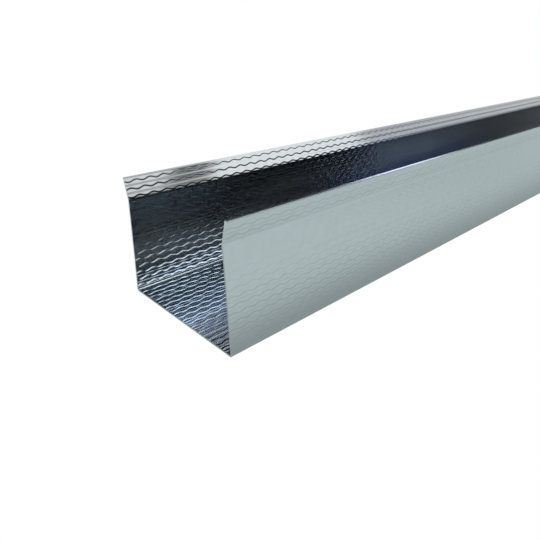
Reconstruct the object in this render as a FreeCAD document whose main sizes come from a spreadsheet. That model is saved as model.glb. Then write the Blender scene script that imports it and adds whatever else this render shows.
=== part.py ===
import FreeCAD, Part
import math
import os
import Sketcher

# Drywall track: a U-shaped channel roll-formed in one piece from thin zinc-coated steel sheet.
# The web lies on the floor and is fastened there. Both legs lean in a little, so that they grip
# the studs set between them, and the top strip of each leg is turned outwards as a lip, so that
# a stud slips in past it. The track is cut off square at both ends.
# Frame: X along the track, Y across the web, Z up. The origin is in the middle of the web's
# underside, at mid-length.

doc = FreeCAD.newDocument("drywall_track")

# Driving dimensions, in millimetres and degrees
dimensions = {
    # Length of stock, from one square cut to the other
    "track_length": "3048",
    # Outside width, where the legs leave the web
    "web_width": "41.275",
    # From the web's underside to the highest point of the lips
    "leg_height": "31.75",
    # Outer face of the lip, from its bend to the cut edge
    "lip_width": "5.55",
    "sheet_thickness": "0.48",
    # Radii on the inner side of each bend
    "corner_bend_radius": "0.3",
    "lip_bend_radius": "1.5",
    # Lean of the legs inwards and of the lips outwards, both from upright
    "toe_in_angle": "3.3",
    "lip_flare_angle": "13.5",
}
sizes = doc.addObject("Spreadsheet::Sheet", "sizes")
for row, (name, value) in enumerate(dimensions.items(), start=1):
    sizes.set(f"A{row}", name)
    sizes.set(f"B{row}", value)
    sizes.setAlias(f"B{row}", name)
doc.recompute()

body = doc.addObject("PartDesign::Body", "track_body")
body.Label = "drywall_track"


def origin_plane(owner, role):
    """The body's own origin plane with the given role."""
    return next(feature for feature in owner.Origin.OriginFeatures if feature.Role == role)


# Section across the track, with sharp corners: seen along X, with the sketch's axes along Y and Z
section = body.newObject("Sketcher::SketchObject", "section")
section.AttachmentSupport = [(origin_plane(body, "YZ_Plane"), "")]
section.MapMode = "FlatFace"

# First places of the corners of one half, from the web's underside up the outer face of the leg
# and back down its inner face
thickness = float(sizes.get("sheet_thickness"))
toe_in = math.radians(float(sizes.get("toe_in_angle")))
flare = math.radians(float(sizes.get("lip_flare_angle")))
lip_rise = float(sizes.get("lip_width")) * math.cos(flare)
outer_base = (float(sizes.get("web_width")) / 2, 0.0)
outer_bend_height = float(sizes.get("leg_height")) - thickness * math.sin(flare) - lip_rise
outer_bend = (outer_base[0] - outer_bend_height * math.tan(toe_in), outer_bend_height)
outer_tip = (outer_bend[0] + lip_rise * math.tan(flare), outer_bend_height + lip_rise)
inner_tip = (outer_tip[0] - thickness * math.cos(flare), outer_tip[1] + thickness * math.sin(flare))
inner_bend = (outer_bend[0] - thickness, outer_bend_height)
inner_base = (outer_base[0] - thickness, thickness)
half = [outer_base, outer_bend, outer_tip, inner_tip, inner_bend, inner_base]
other_half = [(-across, height) for across, height in reversed(half)]
corners = half + other_half

# Each line starts at its own corner: the lines of one half come first, then the web's upper face,
# the lines of the other half in reverse order, and the web's underside
line_count = len(corners)
for number in range(line_count):
    start = FreeCAD.Vector(*corners[number], 0)
    end = FreeCAD.Vector(*corners[(number + 1) % line_count], 0)
    section.addGeometry(Part.LineSegment(start, end))
LEG_OUTSIDE, LIP_OUTSIDE, TIP, LIP_INSIDE, LEG_INSIDE, WEB_TOP = range(6)

# The sketcher's own numbers for a line's two ends, and for its axes, which start at the origin
START, END = range(1, 3)
LEVEL_AXIS, UPRIGHT_AXIS = range(-1, -3, -1)

for number in range(line_count):
    following = (number + 1) % line_count
    section.addConstraint(Sketcher.Constraint("Coincident", number, END, following, START))
for number in range(len(half)):
    mirrored = line_count - 1 - number
    section.addConstraint(Sketcher.Constraint("Symmetric", number, START, mirrored, START, UPRIGHT_AXIS))
section.addConstraint(Sketcher.Constraint("PointOnObject", LEG_OUTSIDE, START, LEVEL_AXIS))
section.addConstraint(Sketcher.Constraint("Parallel", LIP_OUTSIDE, LIP_INSIDE))
section.addConstraint(Sketcher.Constraint("Parallel", LEG_OUTSIDE, LEG_INSIDE))
section.addConstraint(Sketcher.Constraint("Perpendicular", LIP_OUTSIDE, TIP))


def size_constraint(name, expression, *parts):
    """Add a sized constraint to the section and bind it to the sheet."""
    number = section.addConstraint(Sketcher.Constraint(*parts))
    section.renameConstraint(number, name)
    section.setExpression(f"Constraints.{name}", expression)


far_base = line_count - 1
size_constraint("across_web", "sizes.web_width",
                "DistanceX", far_base, START, LEG_OUTSIDE, START, 2 * outer_base[0])
size_constraint("leg_top", "sizes.leg_height",
                "DistanceY", LEVEL_AXIS, START, LIP_INSIDE, START, inner_tip[1])
size_constraint("lip_face", "sizes.lip_width",
                "Distance", LIP_OUTSIDE, lip_rise / math.cos(flare))
size_constraint("toe_in", "sizes.toe_in_angle",
                "Angle", UPRIGHT_AXIS, START, LEG_OUTSIDE, START, toe_in)
size_constraint("flare", "sizes.lip_flare_angle",
                "Angle", LIP_OUTSIDE, START, UPRIGHT_AXIS, START, flare)
size_constraint("tip_thickness", "sizes.sheet_thickness",
                "Distance", TIP, thickness)
size_constraint("leg_thickness", "sizes.sheet_thickness",
                "Distance", LEG_INSIDE, END, LEG_OUTSIDE, thickness)
size_constraint("web_thickness", "sizes.sheet_thickness",
                "DistanceY", LEVEL_AXIS, START, WEB_TOP, START, thickness)

# The section, drawn out along the track to both sides of the origin
stock = body.newObject("PartDesign::Pad", "stock")
stock.Profile = section
stock.SideType = "Symmetric"
stock.setExpression("Length", "sizes.track_length")
doc.recompute()


def edges_along(shape, points):
    """Names of the long edges that run through the given (y, z) points of the section."""
    names = []
    for number, edge in enumerate(shape.Edges, start=1):
        ends = [vertex.Point for vertex in edge.Vertexes]
        runs_along = len(ends) == 2 and abs(ends[0].y - ends[1].y) + abs(ends[0].z - ends[1].z) < 1e-6
        if runs_along and any(math.hypot(ends[0].y - y, ends[0].z - z) < 1e-4 for y, z in points):
            names.append(f"Edge{number}")
    return names


def corner_pair(line):
    """The section's solved corner where the line starts, and the same corner on the other side."""
    corner = section.getPoint(line, START)
    return [(corner.x, corner.y), (-corner.x, corner.y)]


# The sheet keeps its thickness round every bend, so the two sides of a bend share one centre:
# the corners between web and legs turn inwards and the bends below the lips turn outwards
bends = [
    ("corner_outside", LEG_OUTSIDE, "sizes.corner_bend_radius + sizes.sheet_thickness"),
    ("corner_inside", WEB_TOP, "sizes.corner_bend_radius"),
    ("lip_bend_outside", LIP_OUTSIDE, "sizes.lip_bend_radius"),
    ("lip_bend_inside", LEG_INSIDE, "sizes.lip_bend_radius + sizes.sheet_thickness"),
]
carrier = stock
for name, line, radius in bends:
    bend = body.newObject("PartDesign::Fillet", name)
    bend.Base = (carrier, edges_along(carrier.Shape, corner_pair(line)))
    bend.setExpression("Radius", radius)
    doc.recompute()
    carrier = bend
body.Tip = carrier
doc.recompute()

for item in doc.Objects:
    if "Invalid" in item.State or "Error" in item.State:
        raise RuntimeError(f"{item.Name} was not made: {item.State}")
track = body.Shape
if track.isNull() or not track.isValid() or len(track.Solids) != 1:
    raise RuntimeError("the track is not one sound solid")

os.makedirs("parts", exist_ok=True)
track.exportStep(f"parts/{body.Label}.step")
box = track.BoundBox
print(f"{body.Label}: {box.XLength:.3f} x {box.YLength:.3f} x {box.ZLength:.3f} mm, {track.Volume:.1f} mm3")
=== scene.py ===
import math

import bpy
import numpy as np
from mathutils import Matrix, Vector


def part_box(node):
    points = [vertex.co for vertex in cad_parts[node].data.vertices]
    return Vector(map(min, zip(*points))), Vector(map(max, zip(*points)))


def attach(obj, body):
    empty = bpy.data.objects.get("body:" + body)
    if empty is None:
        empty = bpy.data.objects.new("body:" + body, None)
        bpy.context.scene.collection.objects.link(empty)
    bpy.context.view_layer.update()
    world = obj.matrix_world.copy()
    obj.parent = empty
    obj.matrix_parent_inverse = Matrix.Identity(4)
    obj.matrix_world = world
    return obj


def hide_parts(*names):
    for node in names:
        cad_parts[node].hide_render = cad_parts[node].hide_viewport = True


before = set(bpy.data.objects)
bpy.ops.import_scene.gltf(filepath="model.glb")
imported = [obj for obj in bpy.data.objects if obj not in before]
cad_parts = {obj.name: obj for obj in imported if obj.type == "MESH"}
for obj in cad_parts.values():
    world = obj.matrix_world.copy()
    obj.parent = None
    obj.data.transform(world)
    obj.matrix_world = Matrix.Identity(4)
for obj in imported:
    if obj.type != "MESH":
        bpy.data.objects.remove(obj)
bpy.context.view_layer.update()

# Drywall track: a channel that holds the ends of wall studs, of one strip of thin zinc-coated steel. The
# strip is embossed all over between two rolls, roll-formed to a flat web, legs that lean in to grip the
# studs and lips turned out along their tops, and sheared off square at both ends

# Sizes in millimetres and angles in radians. The solid's box gives the length and the height
MM = 0.001
low, high = (np.array(corner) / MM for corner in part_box("drywall_track"))
TRACK_LENGTH = high[0] - low[0]
LEG_HEIGHT = high[2] - low[2]
NEAR_END = low[0]
WEB_WIDTH = 41.275
LIP_WIDTH = 5.55
SHEET = 0.48
CORNER_BEND_RADIUS = 0.3
LIP_BEND_RADIUS = 1.5
TOE_IN = math.radians(3.3)
FLARE = math.radians(13.5)

# Flat stretches and bends along the middle of the sheet, from the near lip's cut edge to the web, and the
# headings at their marks. The other half is the same in reverse
CORNER_TURN = math.pi / 2 + TOE_IN
LIP_TURN = TOE_IN + FLARE
corner_tangent = (CORNER_BEND_RADIUS + SHEET) * math.tan(CORNER_TURN / 2)
lip_tangent = LIP_BEND_RADIUS * math.tan(LIP_TURN / 2)
leg_rise = LEG_HEIGHT - SHEET * math.sin(FLARE) - LIP_WIDTH * math.cos(FLARE)
lip_flat = LIP_WIDTH - lip_tangent
lip_bend = (LIP_BEND_RADIUS + SHEET / 2) * LIP_TURN
leg_flat = leg_rise / math.cos(TOE_IN) - corner_tangent - lip_tangent
corner_bend = (CORNER_BEND_RADIUS + SHEET / 2) * CORNER_TURN
web_flat = WEB_WIDTH - 2 * corner_tangent
half_strip = [lip_flat, lip_bend, leg_flat, corner_bend]
half_headings = np.array([FLARE, FLARE, -TOE_IN, -TOE_IN, math.pi / 2]) - math.pi / 2
strip_marks = np.concatenate([[0], np.cumsum(half_strip + [web_flat] + half_strip[::-1])])
strip_headings = np.concatenate([half_headings, -half_headings[::-1]])
STRIP_WIDTH = strip_marks[-1]

# The two tight corners lie between marks 3 and 4 and between marks 5 and 6
corner_middles = np.array([strip_marks[3:5].mean(), strip_marks[5:7].mean()])
SECTION_STEPS = 40000


def section(across):
    """Middle of the sheet at the given places across the flat strip, and its normal into the channel.

    The heading is even on flat stretches and turns evenly round bends; its cosine and sine, summed
    along the strip, give the places, which are then set about the middle of the web.
    """
    fine = np.linspace(0, STRIP_WIDTH, SECTION_STEPS + 1)
    fine_step = fine[1]
    fine_heading = np.interp((fine[1:] + fine[:-1]) / 2, strip_marks, strip_headings)
    run_y = np.concatenate([[0], np.cumsum(np.cos(fine_heading) * fine_step)])
    run_z = np.concatenate([[0], np.cumsum(np.sin(fine_heading) * fine_step)])
    run_y -= run_y[-1] / 2
    run_z += SHEET / 2 - run_z.min()
    heading = np.interp(across, strip_marks, strip_headings)
    middle = np.stack([np.interp(across, fine, run_y), np.interp(across, fine, run_z)], -1)
    return middle, np.stack([-np.sin(heading), np.cos(heading)], -1)


# Embossing: low steps along the strip, rolled right through it, with a gentle fall back from each to the
# next, like scales. Wavy steps, with neighbouring rows in opposite phase, take turns with lower straight
# ones, every fourth of which is a little higher. Shares are of a wavy step's height
ROWS = 54
ROW_PITCH = 1.9275
ROW_START = 0.2
WAVE_LENGTH = 3.9
WAVE_START = 3.1
WAVE_SWING = 0.24
STEP_HALF_WIDTH = 0.3
INNER_STEP = 0.066
OUTER_STEP = 0.06
STRAIGHT_SHARE = 0.45
FOURTH_SHARE = 0.24
FOURTH_START = ROW_START + 1.5 * ROW_PITCH
MEAN_SHARE = 1 + (STRAIGHT_SHARE + FOURTH_SHARE) / 2

# Widths over which the relief fades out beside the corners and the cut edges, and the end of the stretch
# on which it is modelled in the mesh, with its fade
CORNER_FADE = 0.7
EDGE_FADE = 0.3
RELIEF_END = 58.5
RELIEF_FADE = 7.8


def ease(value):
    """Smooth step from 0 to 1 as the value goes from 0 to 1: three squares less two cubes."""
    value = np.clip(value, 0, 1)
    return value * value * (3 - 2 * value)


def pressed(across):
    """Share of the relief left: 0 round the two tight corners and at the cut edges, 1 clear of them."""
    gap = np.minimum(abs(across - corner_middles[0]), abs(across - corner_middles[1]))
    edge = np.minimum(across, STRIP_WIDTH - across)
    return ease((gap - corner_bend / 2) / CORNER_FADE) * ease(edge / EDGE_FADE)


def modelled(along):
    """1 over the end whose embossing is modelled in the mesh, easing to 0 past it."""
    return 1 - ease((along - RELIEF_END) / RELIEF_FADE)


def swing(along):
    """Sideways swing of the wavy steps, a cosine along the strip."""
    return WAVE_SWING * np.cos(2 * math.pi * (along - WAVE_START) / WAVE_LENGTH)


def from_line(across, spacing):
    """Signed distance from the nearest of the lines that are one spacing apart."""
    return across - np.round(across / spacing) * spacing


def scale(gap, spacing):
    """Section of a row of scales: a smooth step up by 1 at each line, and an even fall back to the next."""
    return ease(gap / (2 * STEP_HALF_WIDTH) + 0.5) - gap / spacing


def embossing(along, across, lift):
    """Height of the scales into the channel about their mean, with a lift, as a share of a wavy step.

    Wavy steps of even rows swing one way and those of odd rows the other. All fade out where the
    strip was pressed flat.
    """
    even = from_line(across - ROW_START + swing(along), 2 * ROW_PITCH)
    odd = from_line(across - ROW_START - ROW_PITCH - swing(along), 2 * ROW_PITCH)
    straight = from_line(across - ROW_START - ROW_PITCH / 2, ROW_PITCH)
    fourth = from_line(across - FOURTH_START, 4 * ROW_PITCH)
    height = scale(even, 2 * ROW_PITCH) + scale(odd, 2 * ROW_PITCH)
    height += STRAIGHT_SHARE * scale(straight, ROW_PITCH) + FOURTH_SHARE * scale(fourth, 4 * ROW_PITCH)
    return (height - MEAN_SHARE + lift) * pressed(across) * modelled(along)


# Lines of the mesh across the strip: five that follow each wavy step, three for each straight one, and
# even ones round the corners. The others keep clear of the corners and the cut edges
WAVY_LINES = 5
STRAIGHT_LINES = 3
BEND_LINES = 9
CLEARANCE = 0.05
row_numbers = np.arange(ROWS)[:, None]
row_sides = np.where(row_numbers % 2 == 0, -1.0, 1.0)
wavy_lines = np.linspace(-1, 1, WAVY_LINES) * STEP_HALF_WIDTH
straight_lines = ROW_PITCH / 2 + np.linspace(-1, 1, STRAIGHT_LINES) * STEP_HALF_WIDTH
row_lines = ROW_START + row_numbers * ROW_PITCH + np.concatenate([wavy_lines, straight_lines])
row_follow = row_sides * np.repeat([1.0, 0.0], [WAVY_LINES, STRAIGHT_LINES])
kept = (row_lines > CLEARANCE) & (row_lines < STRIP_WIDTH - CLEARANCE)
for corner_middle in corner_middles:
    kept &= abs(row_lines - corner_middle) > corner_bend / 2 + CLEARANCE
bend_lines = corner_middles[:, None] + np.linspace(-0.5, 0.5, BEND_LINES) * corner_bend
plain_across = np.concatenate([[0, STRIP_WIDTH], bend_lines.ravel()])
all_across = np.concatenate([row_lines[kept], plain_across])
all_follow = np.concatenate([row_follow[kept], np.zeros(len(plain_across))])
order = np.argsort(all_across)
lines_across = all_across[order]
follow = all_follow[order]

# Lines along the strip: six to a wave over the modelled end, then a few long steps to the far end
LINES_TO_WAVE = 6
PLAIN_LINES = 7
line_step = WAVE_LENGTH / LINES_TO_WAVE
relief_along = np.arange(0, RELIEF_END + RELIEF_FADE, line_step)
plain_along = np.linspace(relief_along[-1] + line_step, TRACK_LENGTH, PLAIN_LINES)
lines_along = np.concatenate([relief_along, plain_along])

along, level_across = np.meshgrid(lines_along, lines_across, indexing="ij")
across = level_across + follow * pressed(level_across) * modelled(along) * swing(along)
sheet_middle, inward = section(across)

# Direction across the strip, and the step over which slopes are taken
strip_tangent = np.stack([inward[..., 1], -inward[..., 0]], -1)
SMALL_STEP = 0.001


def face(side, step_height, lift):
    """Points and normals of one face of the sheet, 1 for the inner and -1 for the outer.

    The points lie half the sheet from its middle and are raised into the channel by the height of
    the embossing, whose slopes lean the normals.
    """
    height = step_height * embossing(along, across, lift)
    slope_along = embossing(along + SMALL_STEP, across, lift) - embossing(along - SMALL_STEP, across, lift)
    slope_along *= step_height / (2 * SMALL_STEP)
    slope_across = embossing(along, across + SMALL_STEP, lift) - embossing(along, across - SMALL_STEP, lift)
    slope_across *= step_height / (2 * SMALL_STEP)
    points = sheet_middle + inward * (side * SHEET / 2 + height)[..., None]
    points = np.concatenate([(NEAR_END + along)[..., None], points], -1)
    normals = side * (inward - slope_across[..., None] * strip_tangent)
    normals = np.concatenate([-side * slope_along[..., None], normals], -1)
    return points, normals / np.linalg.norm(normals, axis=-1, keepdims=True)


# One ring of points at each line along the strip: inner face from the near lip to the far one, then the
# outer face back. Both ends are closed by a strip of faces between the two. The inner face's relief lies
# about the plain sheet, and the outer face's only goes inwards from it
inner, inner_normals = face(1, INNER_STEP, 0)
outer, outer_normals = face(-1, OUTER_STEP, MEAN_SHARE)
rings = np.concatenate([inner, outer[:, ::-1]], 1) * MM
line_count, ring_size = rings.shape[:2]
width = ring_size // 2
numbers = np.arange(line_count * ring_size).reshape(line_count, ring_size)
turned = np.roll(numbers, -1, 1)
walls = np.stack([numbers[:-1], numbers[1:], turned[1:], turned[:-1]], -1).reshape(-1, 4)
cap = np.arange(width - 1)
cap_faces = np.stack([cap, cap + 1, ring_size - 2 - cap, ring_size - 1 - cap], -1)
last_ring = numbers[-1, 0]
faces = np.concatenate([walls, cap_faces, cap_faces[:, ::-1] + last_ring])

mesh = bpy.data.meshes.new("track_sheet")
mesh.from_pydata(rings.reshape(-1, 3), [], faces)

# Sheared faces: both caps and the edges of the lips, which keep flat normals
ring_place = np.arange(len(walls)) % ring_size
cut = np.ones(len(faces), dtype=bool)
cut[:len(walls)] = (ring_place == width - 1) | (ring_place == ring_size - 1)
mesh.attributes.new("cut_edge", "FLOAT", "FACE").data.foreach_set("value", cut.astype(np.float32))
flat_normals = np.zeros(len(faces) * 3, dtype=np.float32)
mesh.polygons.foreach_get("normal", flat_normals)
ring_normals = np.concatenate([inner_normals, outer_normals[:, ::-1]], 1).reshape(-1, 3)
corner_normals = ring_normals[faces]
corner_normals[cut] = flat_normals.reshape(-1, 1, 3)[cut]
mesh.polygons.foreach_set("use_smooth", np.ones(len(faces), dtype=bool))
mesh.normals_split_custom_set(corner_normals.reshape(-1, 3))

# Flat layout of the strip in millimetres, from the near end and from the near lip's edge, and the step
# height that the material draws, in metres, up from the inner face and down from the outer one
corner_points = faces.ravel()
layout_along = np.concatenate([along, along[:, ::-1]], 1).ravel()[corner_points]
layout_across = np.concatenate([across, across[:, ::-1]], 1).ravel()[corner_points]
layout = mesh.uv_layers.new(name="flat_strip")
layout.uv.foreach_set("vector", np.stack([layout_along, layout_across], -1).ravel())
drawn_share = pressed(across) * (1 - modelled(along))
drawn_steps = np.concatenate([INNER_STEP * drawn_share, -OUTER_STEP * drawn_share[:, ::-1]], 1) * MM
mesh.attributes.new("drawn_height", "FLOAT", "POINT").data.foreach_set("value", drawn_steps.ravel())
track = bpy.data.objects.new("track_sheet", mesh)
bpy.context.scene.collection.objects.link(track)


def linear(hex_colour):
    """Linear colour of an sRGB hex value: a straight line near black, and a power of 2.4 above it."""
    parts = np.array([int(hex_colour[i:i + 2], 16) for i in (1, 3, 5)]) / 255
    return (*np.where(parts <= 0.04045, parts / 12.92, ((parts + 0.055) / 1.055) ** 2.4), 1)


def add_node(tree, kind, settings=None, **inputs):
    """Add a node with its settings, and set or link its inputs, given by name or by number as _0, _1."""
    node = tree.nodes.new(kind)
    for name, value in (settings or {}).items():
        setattr(node, name, value)
    for name, value in inputs.items():
        key = int(name[1:]) if name[1:].isdigit() else name.replace("_", " ")
        socket = node.inputs[key]
        if isinstance(value, bpy.types.NodeSocket):
            tree.links.new(value, socket)
        else:
            socket.default_value = value
    return node


# Zinc coating on cold-rolled steel, hot-dipped, skin-passed and roll-embossed: a bright cool metal,
# clouded faintly by the zinc's crystals and streaked along the strip by the rolls. Sheared edges show
# the bare steel, paler and duller. Crystals and streaks are sized in millimetres
COAT_DARK = "#B6BBBD"
COAT_LIGHT = "#BEC3C5"
BARE_STEEL = "#C6C9CA"
CRYSTAL_SIZE = 2.5
STREAK_WIDTH = 0.4
STREAK_LENGTH = 30.0
PATTERN_DETAIL = 2.0
COAT_SMOOTHEST = 0.06
COAT_ROUGHEST = 0.09
CUT_ROUGHNESS = 0.28
zinc = bpy.data.materials.new("zinc_coated_steel_roll_embossed")
zinc.use_nodes = True
zinc_tree = zinc.node_tree
shader = zinc_tree.nodes["Principled BSDF"]
shader.inputs["Metallic"].default_value = 1
strip = add_node(zinc_tree, "ShaderNodeUVMap", {"uv_map": "flat_strip"}).outputs[0]
cut_edge = add_node(zinc_tree, "ShaderNodeAttribute", {"attribute_name": "cut_edge"}).outputs["Fac"]
clouds = add_node(zinc_tree, "ShaderNodeTexNoise", Vector=strip, Scale=1 / CRYSTAL_SIZE,
                  Detail=PATTERN_DETAIL)
coat = add_node(zinc_tree, "ShaderNodeMix", {"data_type": "RGBA"}, _0=clouds.outputs["Fac"],
                _6=linear(COAT_DARK), _7=linear(COAT_LIGHT))
colour = add_node(zinc_tree, "ShaderNodeMix", {"data_type": "RGBA"}, _0=cut_edge,
                  _6=coat.outputs[2], _7=linear(BARE_STEEL))
zinc_tree.links.new(colour.outputs[2], shader.inputs["Base Color"])
streak_places = add_node(zinc_tree, "ShaderNodeMapping", _0=strip,
                         _3=(1 / STREAK_LENGTH, 1 / STREAK_WIDTH, 1))
streaks = add_node(zinc_tree, "ShaderNodeTexNoise", Vector=streak_places.outputs[0], Scale=1.0,
                   Detail=PATTERN_DETAIL)
coat_roughness = add_node(zinc_tree, "ShaderNodeMapRange", _0=streaks.outputs["Fac"],
                          _3=COAT_SMOOTHEST, _4=COAT_ROUGHEST)
roughness = add_node(zinc_tree, "ShaderNodeMix", {"data_type": "FLOAT"}, _0=cut_edge,
                     _2=coat_roughness.outputs[0], _3=CUT_ROUGHNESS)
zinc_tree.links.new(roughness.outputs[0], shader.inputs["Roughness"])

# Past the modelled end the same steps are drawn as bump from the flat layout, one set of rows at a time.
# Each set has its first line, its swing, the spacing of its lines and its share of a wavy step
flat = add_node(zinc_tree, "ShaderNodeSeparateXYZ", _0=strip)
phase = add_node(zinc_tree, "ShaderNodeMath", {"operation": "MULTIPLY_ADD"}, _0=flat.outputs["X"],
                 _1=2 * math.pi / WAVE_LENGTH, _2=-2 * math.pi * WAVE_START / WAVE_LENGTH)
wave = add_node(zinc_tree, "ShaderNodeMath", {"operation": "COSINE"}, _0=phase.outputs[0])
step_rows = [
    (ROW_START, WAVE_SWING, 2 * ROW_PITCH, 1.0),
    (ROW_START + ROW_PITCH, -WAVE_SWING, 2 * ROW_PITCH, 1.0),
    (ROW_START + ROW_PITCH / 2, 0.0, ROW_PITCH, STRAIGHT_SHARE),
    (FOURTH_START, 0.0, 4 * ROW_PITCH, FOURTH_SHARE),
]
relief = -MEAN_SHARE
for first_line, sway, spacing, share in step_rows:
    past = add_node(zinc_tree, "ShaderNodeMath", {"operation": "SUBTRACT"},
                    _0=flat.outputs["Y"], _1=first_line)
    swayed = add_node(zinc_tree, "ShaderNodeMath", {"operation": "MULTIPLY_ADD"},
                      _0=wave.outputs[0], _1=sway, _2=past.outputs[0])
    gap = add_node(zinc_tree, "ShaderNodeMath", {"operation": "WRAP"},
                   _0=swayed.outputs[0], _1=spacing / 2, _2=-spacing / 2)
    step = add_node(zinc_tree, "ShaderNodeMapRange", {"interpolation_type": "SMOOTHSTEP"},
                    _0=gap.outputs[0], _1=-STEP_HALF_WIDTH, _2=STEP_HALF_WIDTH, _3=0.0, _4=share)
    fallen = add_node(zinc_tree, "ShaderNodeMath", {"operation": "MULTIPLY_ADD"},
                      _0=gap.outputs[0], _1=-share / spacing, _2=step.outputs[0])
    relief = add_node(zinc_tree, "ShaderNodeMath", {"operation": "ADD"},
                      _0=fallen.outputs[0], _1=relief).outputs[0]
step_height = add_node(zinc_tree, "ShaderNodeAttribute", {"attribute_name": "drawn_height"}).outputs["Fac"]
drawn_relief = add_node(zinc_tree, "ShaderNodeMath", {"operation": "MULTIPLY"}, _0=relief, _1=step_height)
bump = add_node(zinc_tree, "ShaderNodeBump", Strength=1.0, Distance=1.0, Height=drawn_relief.outputs[0])
zinc_tree.links.new(bump.outputs[0], shader.inputs["Normal"])
mesh.materials.append(zinc)

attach(track, "root")
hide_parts("drywall_track")

# Floor: a wide sheet of white studio paper under the track, a glowing surface burnt out to plain white for
# the camera. What
# the track mirrors of it is painted light: a painted shadow close to its legs, and a painted dimming, a
# little darker further along

# Sizes in metres. The painted shade starts at the foot of a leg, and the painted dimming is counted from
# the near end
FLOOR_HALF = 30.0
FLOOR_LEVEL = -0.0001
SHADE_START = 0.0206
SHADE_FADE = 0.016
SHADE_POWER = 1.7
DIM_START = 0.05
DIM_END = 0.26
# Colours of the paper's painted glow: open paper, painted dimming further along, painted shade beside the
# legs, and white for the camera
PAPER_BRIGHT = "#E6F3F3"
PAPER_PAINTED_DIM = "#D5E2E2"
PAPER_PAINTED_SHADE = "#B2BCBC"
BURNT_OUT = "#FFFFFF"
floor_mesh = bpy.data.meshes.new("studio_floor")
floor_corners = np.array([[-1, -1], [1, -1], [1, 1], [-1, 1]]) * FLOOR_HALF
floor_mesh.from_pydata(np.column_stack([floor_corners, np.full(4, FLOOR_LEVEL)]), [], [(0, 1, 2, 3)])
floor = bpy.data.objects.new("studio_floor", floor_mesh)
bpy.context.scene.collection.objects.link(floor)
paper = bpy.data.materials.new("white_studio_paper")
paper.use_nodes = True
paper_tree = paper.node_tree
spot = add_node(paper_tree, "ShaderNodeTexCoord").outputs["Object"]
spot_parts = add_node(paper_tree, "ShaderNodeSeparateXYZ", _0=spot)
# Painted dimming: the paper's glow darkens along the track, away from the near end
painted_dimming = add_node(paper_tree, "ShaderNodeMapRange", {"interpolation_type": "SMOOTHSTEP"},
                   _0=spot_parts.outputs["X"], _1=NEAR_END * MM + DIM_START, _2=NEAR_END * MM + DIM_END)
open_floor = add_node(paper_tree, "ShaderNodeMix", {"data_type": "RGBA"}, _0=painted_dimming.outputs[0],
                      _6=linear(PAPER_BRIGHT), _7=linear(PAPER_PAINTED_DIM))

# The painted shade is 1 between the legs, and outside them it falls as 1/e to a power of the distance
off_middle = add_node(paper_tree, "ShaderNodeMath", {"operation": "ABSOLUTE"}, _0=spot_parts.outputs["Y"])
distance = add_node(paper_tree, "ShaderNodeMath", {"operation": "MULTIPLY_ADD"}, _0=off_middle.outputs[0],
                    _1=1 / SHADE_FADE, _2=-SHADE_START / SHADE_FADE)
falloff = add_node(paper_tree, "ShaderNodeMath", {"operation": "POWER"},
                   _0=distance.outputs[0], _1=SHADE_POWER)
painted_shade = add_node(paper_tree, "ShaderNodeMath", {"operation": "POWER"},
                 _0=math.exp(-1), _1=falloff.outputs[0])
# Painted shadow: the paper's glow is mixed towards the shaded colour beside the legs
painted_paper = add_node(paper_tree, "ShaderNodeMix", {"data_type": "RGBA"}, _0=painted_shade.outputs[0],
               _6=open_floor.outputs[2], _7=linear(PAPER_PAINTED_SHADE))
floor_seen = add_node(paper_tree, "ShaderNodeLightPath").outputs["Is Camera Ray"]
floor_shown = add_node(paper_tree, "ShaderNodeMix", {"data_type": "RGBA"}, _0=floor_seen,
                       _6=painted_paper.outputs[2], _7=linear(BURNT_OUT))
painted_glow = add_node(paper_tree, "ShaderNodeEmission", Color=floor_shown.outputs[2])
paper_tree.links.new(painted_glow.outputs[0], paper_tree.nodes["Material Output"].inputs["Surface"])
paper_tree.nodes.remove(paper_tree.nodes["Principled BSDF"])

# The paper's painted glow, with its painted shade, is only what the track mirrors, so it isn't sampled as a
# light
paper.cycles.emission_sampling = "NONE"
floor_mesh.materials.append(paper)

# Studio light: round soft lights in a dark room, with a pale wall low down all round, which fades out
# between two angles above the horizon. The camera sees all of it burnt out to plain white
ROOM_DARK = "#222020"
WALL_PALE = "#FFFFFF"
WALL_STRENGTH = 0.85
WALL_FULL = math.radians(6)
WALL_END = math.radians(16)
studio = bpy.data.worlds.new("studio")
bpy.context.scene.world = studio
studio.use_nodes = True
studio_tree = studio.node_tree
direction = add_node(studio_tree, "ShaderNodeTexCoord").outputs["Generated"]
rise = add_node(studio_tree, "ShaderNodeSeparateXYZ", _0=direction).outputs["Z"]
wall = add_node(studio_tree, "ShaderNodeMapRange", {"interpolation_type": "SMOOTHSTEP"},
                _0=rise, _1=math.sin(WALL_FULL), _2=math.sin(WALL_END), _3=1.0, _4=0.0)
room = add_node(studio_tree, "ShaderNodeMix", {"data_type": "RGBA"}, _0=wall.outputs[0],
                _6=linear(ROOM_DARK), _7=np.array(linear(WALL_PALE)) * WALL_STRENGTH)

# Each light has its azimuth, elevation and radius in degrees, its colour and its strength, which it
# reaches at a share of its radius. Where lights overlap, the brighter one shows
lights = [
    ("side fill light", -57, 29, 7.5, "#BCD2FC", 0.75),
    ("far fill light", 58, 18, 14, "#E8E8EC", 0.22),
    ("side light, lower part", -46, 38.5, 6.5, "#E8F2FF", 3.6),
    ("side light, left part", -52, 47.5, 5.5, "#F4F4F4", 3.6),
    ("web light, left part", -58, 37, 4.8, "#D8EAFF", 5.2),
    ("web light, right part", -51, 35, 4.5, "#D4E8FF", 3.6),
    ("low side light", -46, 8, 10, "#FFFFFF", 1.4),
    ("low side light, left part", -63, 17, 5.5, "#FFFFFF", 1.25),
    ("top light", -12, 60, 10, "#FFF2E0", 1.6),
    ("far end light", 23, 25, 5, "#DCE6FF", 4.6),
    ("far end fill light", 31, 15, 8, "#7C9CFF", 0.8),
    ("front fill light", -130, 50, 45, "#FFFEF4", 0.65),
    ("back fill light", 130, 50, 45, "#FFFEF4", 1.95),
]
EDGE_SHARE = 0.85
sky = room.outputs[2]
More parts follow.
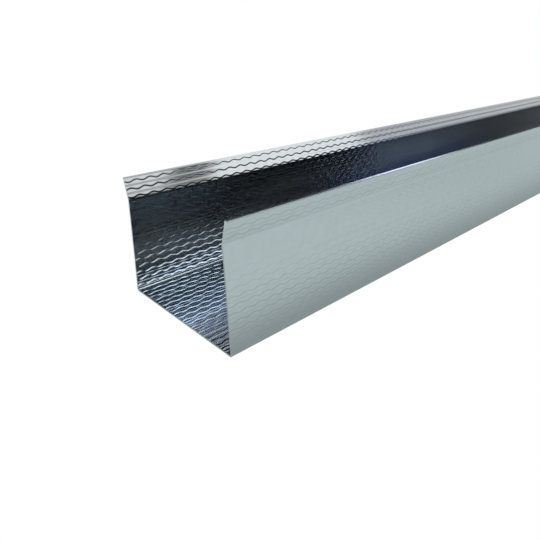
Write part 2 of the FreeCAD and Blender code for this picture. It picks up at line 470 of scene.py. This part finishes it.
for light_name, azimuth, elevation, radius, tint, strength in lights:
    level = math.cos(math.radians(elevation))
    centre = (level * math.cos(math.radians(azimuth)), level * math.sin(math.radians(azimuth)),
              math.sin(math.radians(elevation)))
    nearness = add_node(studio_tree, "ShaderNodeVectorMath",
                        {"operation": "DOT_PRODUCT", "label": light_name}, _0=direction, _1=centre)
    soft = add_node(studio_tree, "ShaderNodeMapRange", {"interpolation_type": "SMOOTHSTEP"},
                    _0=nearness.outputs["Value"], _1=math.cos(math.radians(radius)),
                    _2=math.cos(math.radians(radius * EDGE_SHARE)))
    sky = add_node(studio_tree, "ShaderNodeMix", {"data_type": "RGBA", "blend_type": "LIGHTEN"},
                   _0=soft.outputs[0], _6=sky, _7=np.array(linear(tint)) * strength).outputs[2]
sky_seen = add_node(studio_tree, "ShaderNodeLightPath").outputs["Is Camera Ray"]
sky_shown = add_node(studio_tree, "ShaderNodeMix", {"data_type": "RGBA"}, _0=sky_seen,
                     _6=sky, _7=linear(BURNT_OUT))
studio_tree.links.new(sky_shown.outputs[2], studio_tree.nodes["Background"].inputs["Color"])
bpy.context.scene.view_settings.view_transform = "Standard"

# Camera: close to the near end, looking down on it over the near leg. Its place is in metres, counted
# from the near end, the middle of the web and the floor, and its focal length in pixels of the image
CAMERA_BEFORE_END = 0.05047
CAMERA_ASIDE = -0.08635
CAMERA_HEIGHT = 0.06289
PAN = math.radians(46.851)
PITCH = math.radians(26.595)
ROLL = math.radians(-0.36)
FOCAL_PIXELS = 468.63
IMAGE_WIDTH = 540
SENSOR_WIDTH = 36
CLIP_START = 0.005
CLIP_END = 100
camera_data = bpy.data.cameras.new("camera")
camera_data.sensor_width = SENSOR_WIDTH
camera_data.lens = SENSOR_WIDTH * FOCAL_PIXELS / IMAGE_WIDTH
camera_data.clip_start = CLIP_START
camera_data.clip_end = CLIP_END
camera = bpy.data.objects.new("camera", camera_data)
aim = Matrix.Rotation(PAN - math.pi / 2, 4, "Z") @ Matrix.Rotation(math.pi / 2 - PITCH, 4, "X")
camera_turn = aim @ Matrix.Rotation(-ROLL, 4, "Z")
camera_place = (NEAR_END * MM - CAMERA_BEFORE_END, CAMERA_ASIDE, CAMERA_HEIGHT)
camera.matrix_world = Matrix.Translation(camera_place) @ camera_turn
bpy.context.scene.collection.objects.link(camera)
bpy.context.scene.camera = camera
